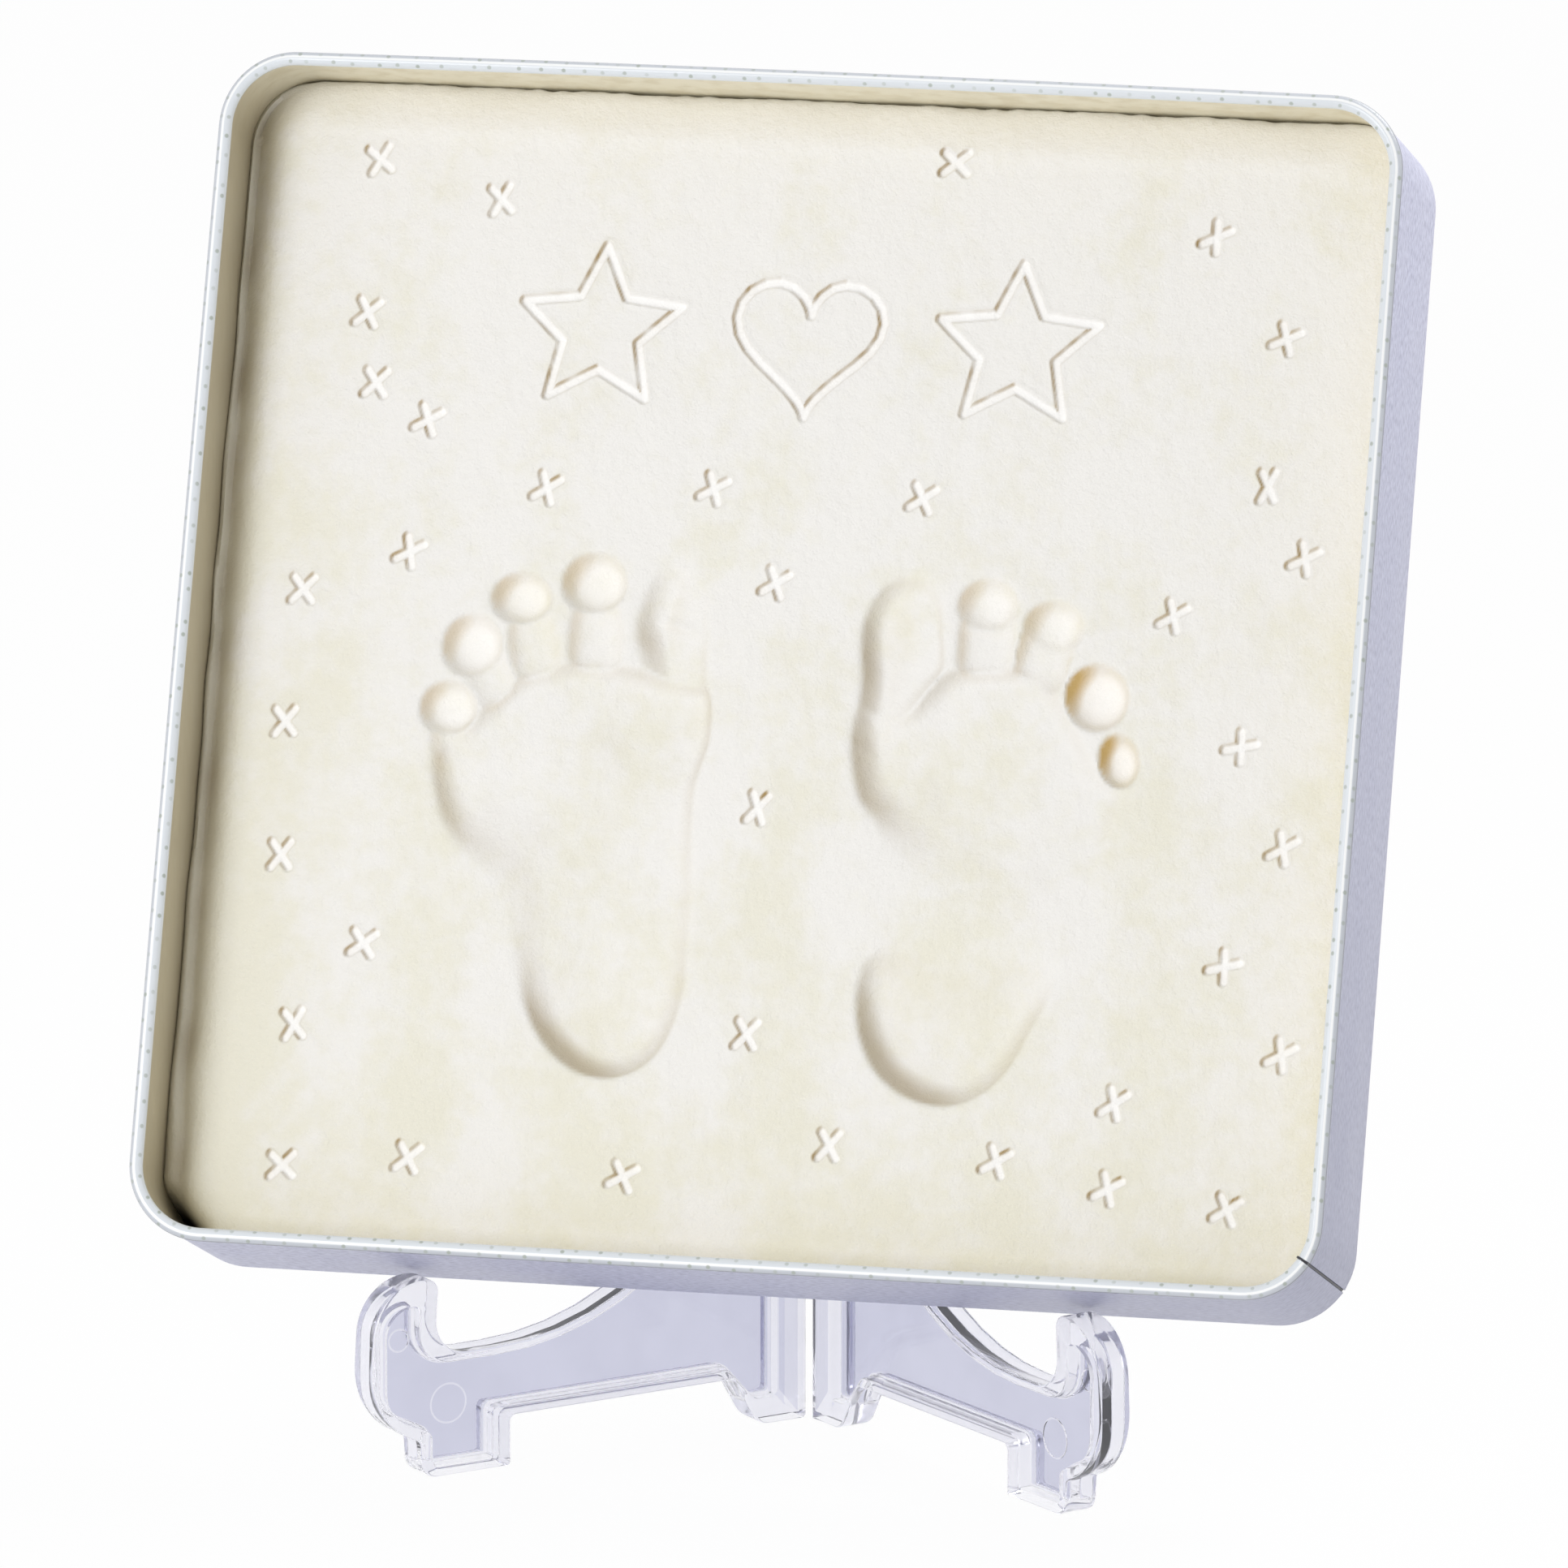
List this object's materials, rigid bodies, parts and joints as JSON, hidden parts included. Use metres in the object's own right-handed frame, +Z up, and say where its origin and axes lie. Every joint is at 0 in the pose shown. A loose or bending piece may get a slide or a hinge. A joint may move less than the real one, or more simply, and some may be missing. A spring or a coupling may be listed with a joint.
{
  "type": "imprint keepsake box",
  "caption": "Open square tin holding a slab of dried clay with two baby footprints and pressed stick marks, leaning on a clear folding easel of hinged leaves.",
  "frame": {"origin": "on the table, under the middle of the bounding box of the whole object as it stands", "axes": "+X to the right of someone who faces the clay, +Y to the back, +Z up"},
  "size_m": [0.17, 0.0928, 0.1947],
  "materials": {
    "tin_wall": "satin lacquer",
    "tin_base": "satin lacquer",
    "clay": "dry matt clay",
    "stand_left": "clear moulded plastic",
    "stand_right": "clear moulded plastic"
  },
  "bodies": {
    "stand_left": {"stand_leaf_left": "stand_left"},
    "stand_right": {"stand_leaf_right": "stand_right"},
    "tin": {"tin_wall": "tin_wall", "tin_base": "tin_base", "clay_slab": "clay"}
  },
  "joints": [
    {"name": "tin_lift", "type": "slide", "parent": "stand_left", "child": "tin", "axis": [0, 0, 1], "range_m": [0, 0.1]},
    {"name": "stand_fold", "type": "hinge", "parent": "stand_left", "child": "stand_right", "pos_m": [0.0004, 0.01337, 0], "axis": [0, 0, -1], "range_deg": [0, 93.4]}
  ],
  "couplings": [
    {"joint": "stand_fold", "follows": "tin_lift", "rad_per_m": 16.301}
  ]
}
